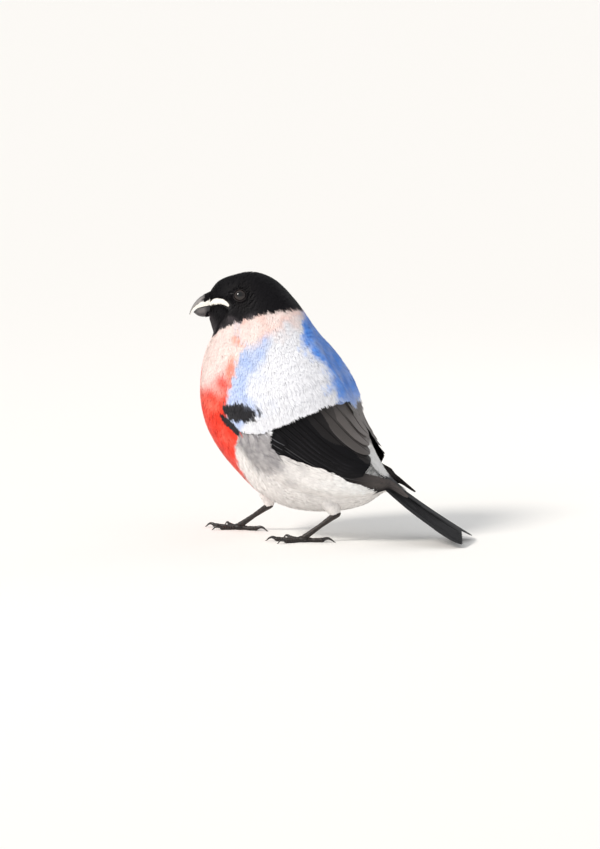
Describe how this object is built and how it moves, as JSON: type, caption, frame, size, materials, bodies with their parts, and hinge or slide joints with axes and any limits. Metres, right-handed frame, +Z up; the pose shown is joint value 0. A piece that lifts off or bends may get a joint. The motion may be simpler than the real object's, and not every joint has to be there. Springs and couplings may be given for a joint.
{
  "type": "bullfinch",
  "caption": "Life-size standing male bullfinch, a small stout finch with a short arched bill, folded wings and a notched tail resting on the floor.",
  "frame": {"origin": "on the floor below the middle of the bird's box", "axes": "+Z up, the bird faces -X, its left side is towards -Y"},
  "size_m": [0.1148, 0.052, 0.109],
  "materials": {
    "black_plumage": "matt black cap and bib with a faint gloss",
    "rose_plumage": "soft pale rose collar turning vermilion on the breast",
    "body_plumage": "vermilion breast, blue-grey mantle, white belly",
    "white_plumage": "soft white rump, vent and shins",
    "flight_feathers": "glossy blue-black vanes",
    "bill": "smooth black horn",
    "eye": "wet near-black brown",
    "leg": "scaled dark brown skin",
    "claw": "polished black horn"
  },
  "bodies": {
    "root": {"head": "black_plumage", "neck": "rose_plumage", "torso": "body_plumage", "tail_coverts": "white_plumage", "tail": "flight_feathers", "bill_upper": "bill", "bill_lower": "bill", "eye_left": "eye", "wing_left": "flight_feathers", "thigh_left": "white_plumage", "tarsus_left": "leg", "foot_left": "leg", "toe_1_left": "leg", "claw_1_left": "claw", "toe_2_left": "leg", "claw_2_left": "claw", "toe_3_left": "leg", "claw_3_left": "claw", "toe_4_left": "leg", "claw_4_left": "claw", "eye_right": "eye", "wing_right": "flight_feathers", "thigh_right": "white_plumage", "tarsus_right": "leg", "foot_right": "leg", "toe_1_right": "leg", "claw_1_right": "claw", "toe_2_right": "leg", "claw_2_right": "claw", "toe_3_right": "leg", "claw_3_right": "claw", "toe_4_right": "leg", "claw_4_right": "claw"}
  },
  "joints": []
}
